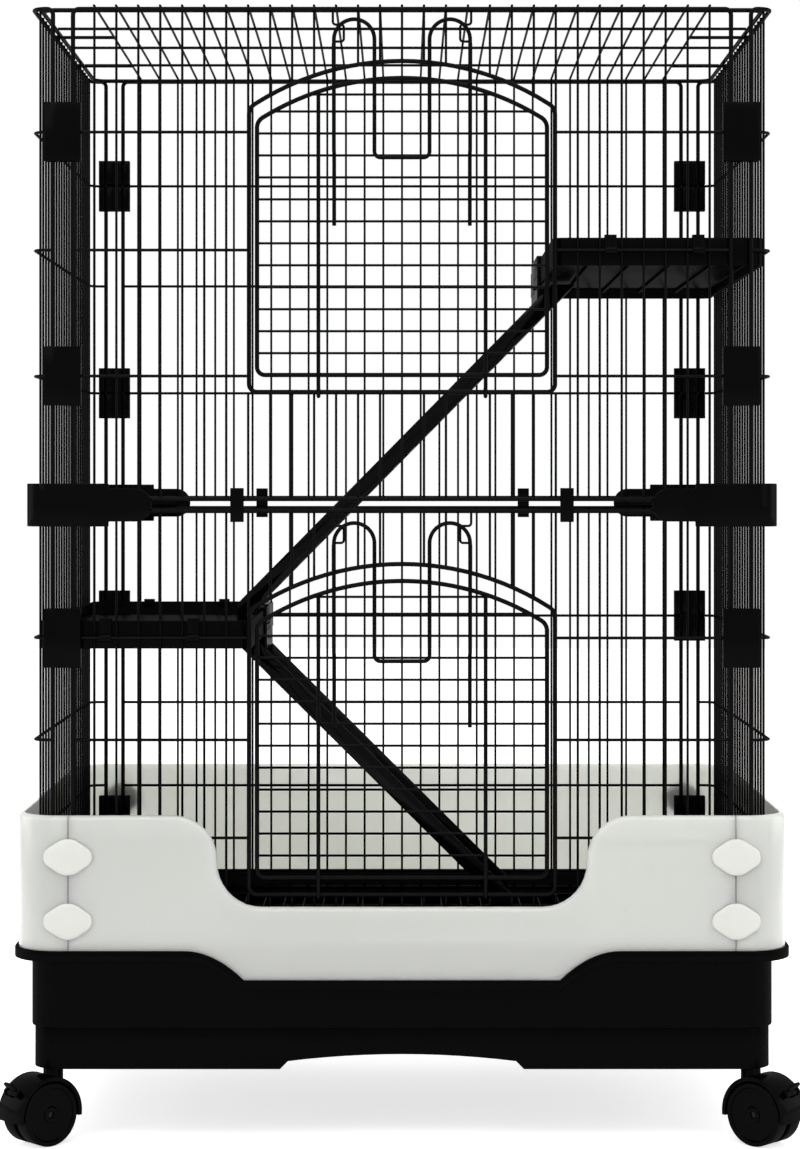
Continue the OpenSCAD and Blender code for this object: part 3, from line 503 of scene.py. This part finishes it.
class CAGE_OT_guard_clips(bpy.types.Operator):
    """Model the soft diamond clips that bridge the guard's seams"""

    bl_idname = "cage.guard_clips"
    bl_label = "Guard clips"

    # half the width of a clip's flat top, and half the height of its blunt ends
    nose = 0.006
    # how far the rounding of an outline's corner reaches
    corner = 0.0045
    corner_segments = 4
    # a face looks along an axis if its normal leans at least this far along it
    along = 0.9
    # the face inside a ring has more corners than this, and the ring's own faces have four
    ring_corners = 8
    same_plane = math.radians(1)
    soft_angle = math.radians(60)
    # the face swells to a soft peak: share of the rise and size of each ring
    rings = ((0.34, 0.93), (0.28, 0.74), (0.22, 0.50), (0.12, 0.24), (0.04, 0.04))

    def blank(self, name, length, height, thickness):
        """A flat diamond with blunt ends and rounded corners, its middle at the origin."""
        bpy.ops.mesh.primitive_cube_add(size=1, scale=(2 * self.nose, thickness, height))
        piece = bpy.context.active_object
        piece.name = name
        settle(piece)
        bpy.ops.object.mode_set(mode="EDIT")
        for side in (-1, 1):
            select_where(piece, "faces", lambda face: face.normal.x * side > self.along)
            bpy.ops.mesh.extrude_region_move(
                TRANSFORM_OT_translate={"value": (side * (length / 2 - self.nose), 0, 0)}
            )
            bpy.ops.transform.resize(
                value=(1, 1, 2 * self.nose / height), center_override=(0, 0, 0)
            )
        bpy.ops.mesh.select_all(action="SELECT")
        bpy.ops.mesh.dissolve_limited(angle_limit=self.same_plane)
        select_where(
            piece,
            "edges",
            lambda edge: abs((edge.verts[0].co - edge.verts[1].co).y) > thickness / 2,
        )
        bpy.ops.mesh.bevel(offset=self.corner, segments=self.corner_segments, affect="EDGES")
        return piece

    def clip(self, name, size, rise):
        """One clip, flat at the back, with its swelling face towards -Y."""
        piece = self.blank(name, size.x, size.z, size.y)
        for share, scale in self.rings:
            select_where(
                piece,
                "faces",
                lambda face: face.normal.y < -self.along and len(face.verts) > self.ring_corners,
            )
            bpy.ops.mesh.extrude_region_move(
                TRANSFORM_OT_translate={"value": (0, -rise * share, 0)}
            )
            ring = max(
                abs(vert.co.x)
                for vert in bmesh.from_edit_mesh(piece.data).verts
                if vert.select
            )
            factor = scale * size.x / 2 / ring
            bpy.ops.transform.resize(value=(factor, 1, factor), center_override=(0, 0, 0))
        bpy.ops.object.mode_set(mode="OBJECT")
        bpy.ops.object.shade_smooth_by_angle(angle=self.soft_angle)
        return piece

    def execute(self, context):
        plastic = white_nylon(context.scene.cage_colours)
        rise = context.scene.cage_sizes.pillow_rise
        points = [vert.co for vert in frame["nodes"]["guard_clips"].data.vertices]
        xs, ys, zs = (two_spans([point[axis] for point in points]) for axis in range(3))
        size = Vector((xs[0][1] - xs[0][0], ys[0][1] - ys[0][0], zs[0][1] - zs[0][0]))
        size.y -= rise
        back = ys[0][1] - size.y / 2
        bpy.ops.object.select_all(action="DESELECT")
        model = self.clip("guard_clip_model", size, rise)
        places = [(x, y, z) for y in (1, -1) for x in xs for z in zs]
        for count, (x, side, z) in enumerate(places):
            piece = bpy.data.objects.new(f"guard_clip_{count}", model.data.copy())
            context.scene.collection.objects.link(piece)
            piece.rotation_euler = (0, 0, 0 if side > 0 else math.pi)
            piece.location = (sum(x) / 2, side * back, sum(z) / 2)
            settle(piece)
            finish_with(piece, plastic)
            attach(piece, body_of("guard_clips"))
            if count == 0:
                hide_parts("guard_clips")
        bpy.data.objects.remove(model)
        return {"FINISHED"}


class CAGE_OT_joining_clips(bpy.types.Operator):
    """Mould the black clips and joints that hold the panels together"""

    bl_idname = "cage.joining_clips"
    bl_label = "Clips and joints"

    # the shelves' clips are thin, so their edges are rounded by this share of the others'
    thin_share = 0.4

    def execute(self, context):
        edge = context.scene.cage_sizes.clip_edge
        plastic = black_abs(context.scene.cage_colours)
        for node in CLIP_NODES:
            width = edge * self.thin_share if "shelf" in node else edge
            finish_with(moulded_copy(node, f"{node}_moulding", width), plastic)
        return {"FINISHED"}


class CAGE_OT_shelves(bpy.types.Operator):
    """Mould the shelves and the ramps"""

    bl_idname = "cage.shelves"
    bl_label = "Shelves and ramps"

    def execute(self, context):
        edge = context.scene.cage_sizes.tray_edge
        plastic = black_polypropylene(context.scene.cage_colours)
        grained = grained_polypropylene(context.scene.cage_colours)
        for storey in ("lower", "upper"):
            shelf = moulded_copy(f"{storey}_shelf", f"{storey}_shelf_moulding", edge)
            finish_with(shelf, plastic)
            ramp = moulded_copy(f"{storey}_ramp", f"{storey}_ramp_moulding", edge)
            finish_with(ramp, grained)
        return {"FINISHED"}


class CAGE_OT_casters(bpy.types.Operator):
    """Mould the casters' hoods, wheels and brake pedals, and finish their axles"""

    bl_idname = "cage.casters"
    bl_label = "Casters"

    hood_edge = 0.0012
    wheel_edge = 0.0022
    wheel_segments = 3
    pedal_edge = 0.0008

    def execute(self, context):
        nylon = caster_nylon(context.scene.cage_colours)
        steel = blackened_steel(context.scene.cage_colours)
        for corner in CORNERS:
            hood = moulded_copy(f"caster_hood_{corner}", f"hood_{corner}", self.hood_edge)
            wheels = moulded_copy(
                f"caster_wheels_{corner}", f"wheels_{corner}", self.wheel_edge, self.wheel_segments
            )
            for piece in (hood, wheels):
                finish_with(piece, nylon)
            if corner.startswith("front"):
                pedal = moulded_copy(
                    f"brake_pedal_{corner}", f"pedal_{corner}", self.pedal_edge
                )
                finish_with(pedal, nylon)
            finish_with(frame["nodes"][f"caster_axle_{corner}"], steel)
        return {"FINISHED"}


class CAGE_OT_stage(bpy.types.Operator):
    """Set up the floor, the lights and the camera"""

    bl_idname = "cage.stage"
    bl_label = "Studio"

    # the floor lies just under the wheels
    floor_size = 14
    floor_place = (0, 1.5, -0.0004)
    # how brightly the floor glows, and the world shines, where they are seen directly
    floor_glow = 0.68
    world_seen = 1.0
    # how strongly the world lights the cage
    world_light = 0.55
    # the point that every lamp looks at
    middle = (0, 0, 0.55)
    # each lamp's name, place, size and watts, and whether glossy pieces mirror it
    lamps = (
        ("key softbox", (-1.9, -2.6, 2.3), (1.6, 1.6), 14, True),
        ("overhead softbox", (0.0, -2.0, 2.7), (2.6, 1.3), 31, True),
        ("fill softbox", (2.2, -2.2, 1.4), (1.4, 1.8), 8, True),
        ("top softbox", (0.2, 0.4, 3.0), (2.0, 2.0), 24, True),
        ("side softbox", (-2.6, 0.3, 0.9), (1.6, 1.4), 13, True),
        ("side softbox", (2.6, 0.3, 0.9), (1.6, 1.4), 13, True),
        ("back softbox", (0.0, 2.4, 1.0), (2.4, 1.6), 38, False),
    )

    def floor(self):
        """A large white floor that keeps the cage's shadow."""
        bpy.ops.mesh.primitive_plane_add(size=self.floor_size, location=self.floor_place)
        floor = bpy.context.active_object
        floor.name = "studio_floor"
        settle(floor)
        material = bpy.data.materials.new("matt white floor")
        material.use_nodes = True
        tree = material.node_tree
        shader = tree.nodes["Principled BSDF"]
        shader.inputs["Base Color"].default_value = from_hex("#FAFAFA")
        shader.inputs["Roughness"].default_value = 0.9
        shader.inputs["Emission Color"].default_value = (1, 1, 1, 1)
        lift = add_node(
            tree,
            "ShaderNodeMath",
            {1: self.floor_glow},
            {0: self.seen_directly(tree)},
            operation="MULTIPLY",
        )
        tree.links.new(lift.outputs["Value"], shader.inputs["Emission Strength"])
        floor.data.materials.append(material)

    def seen_directly(self, tree):
        """1 on what the camera sees, straight, mirrored or through a piece, and else 0."""
        path = add_node(tree, "ShaderNodeLightPath")
        seen = path.outputs["Is Camera Ray"]
        for ray in ("Is Glossy Ray", "Is Transmission Ray"):
            either = add_node(
                tree, "ShaderNodeMath", links={0: seen, 1: path.outputs[ray]}, operation="MAXIMUM"
            )
            seen = either.outputs["Value"]
        return seen

    def world(self):
        """Soft light from all round, which the camera and reflections see as white."""
        world = bpy.data.worlds.new("white studio")
        bpy.context.scene.world = world
        world.use_nodes = True
        tree = world.node_tree
        background = tree.nodes["Background"]
        background.inputs["Color"].default_value = (1, 1, 1, 1)
        level = add_node(
            tree,
            "ShaderNodeMapRange",
            {"To Min": self.world_light, "To Max": self.world_seen},
            {"Value": self.seen_directly(tree)},
        )
        tree.links.new(level.outputs["Result"], background.inputs["Strength"])

    def lamp(self, name, place, size, watts, mirrored):
        """A large soft lamp at a place, turned towards the cage's middle."""
        data = bpy.data.lights.new(name, "AREA")
        data.shape = "RECTANGLE"
        data.size, data.size_y = size
        data.energy = watts
        lamp = bpy.data.objects.new(name, data)
        bpy.context.scene.collection.objects.link(lamp)
        lamp.location = place
        towards = Vector(self.middle) - Vector(place)
        lamp.rotation_euler = towards.to_track_quat("-Z", "Y").to_euler()
        lamp.visible_glossy = mirrored

    def camera(self):
        """A level camera in front, its view shifted down to the cage's middle."""
        distance = 2.79
        front = -0.25
        eye_height = 0.655
        frame_height = 1.149
        view_centre = Vector((-0.002, front, 0.5705))
        data = bpy.data.cameras.new("front camera")
        data.sensor_width = 36
        data.lens = data.sensor_width * distance / frame_height
        data.shift_x = view_centre.x / frame_height
        data.shift_y = (view_centre.z - eye_height) / frame_height
        camera = bpy.data.objects.new("front camera", data)
        bpy.context.scene.collection.objects.link(camera)
        camera.location = (0, front - distance, eye_height)
        camera.rotation_euler = (math.pi / 2, 0, 0)
        bpy.context.scene.camera = camera

    def execute(self, context):
        self.floor()
        self.world()
        for lamp in self.lamps:
            self.lamp(*lamp)
        self.camera()
        context.scene.view_settings.view_transform = "Standard"
        return {"FINISHED"}


class CAGE_PT_panel(bpy.types.Panel):
    """Lists the cage's pieces, sizes and colours"""

    bl_idname = "CAGE_PT_panel"
    bl_label = "Cage"
    bl_space_type = "VIEW_3D"
    bl_region_type = "UI"
    bl_category = "Cage"

    def draw(self, context):
        for operator in OPERATORS:
            self.layout.operator(operator.bl_idname)
        for group in (context.scene.cage_sizes, context.scene.cage_colours):
            for name in group.__annotations__:
                self.layout.prop(group, name)


OPERATORS = (
    CAGE_OT_wirework,
    CAGE_OT_base,
    CAGE_OT_guard,
    CAGE_OT_guard_clips,
    CAGE_OT_joining_clips,
    CAGE_OT_shelves,
    CAGE_OT_casters,
    CAGE_OT_stage,
)
CLASSES = (CageColours, CageSizes, *OPERATORS, CAGE_PT_panel)


def register():
    """Adds the operators, the panel and the scene's cage settings."""
    for cls in CLASSES:
        bpy.utils.register_class(cls)
    bpy.types.Scene.cage_colours = bpy.props.PointerProperty(type=CageColours)
    bpy.types.Scene.cage_sizes = bpy.props.PointerProperty(type=CageSizes)


def unregister():
    """Takes away what register() adds."""
    del bpy.types.Scene.cage_sizes
    del bpy.types.Scene.cage_colours
    for cls in reversed(CLASSES):
        bpy.utils.unregister_class(cls)


def main():
    """Runs each operator in turn."""
    register()
    for operator in OPERATORS:
        group, name = operator.bl_idname.split(".")
        getattr(getattr(bpy.ops, group), name)()


if __name__ == "__main__":
    main()
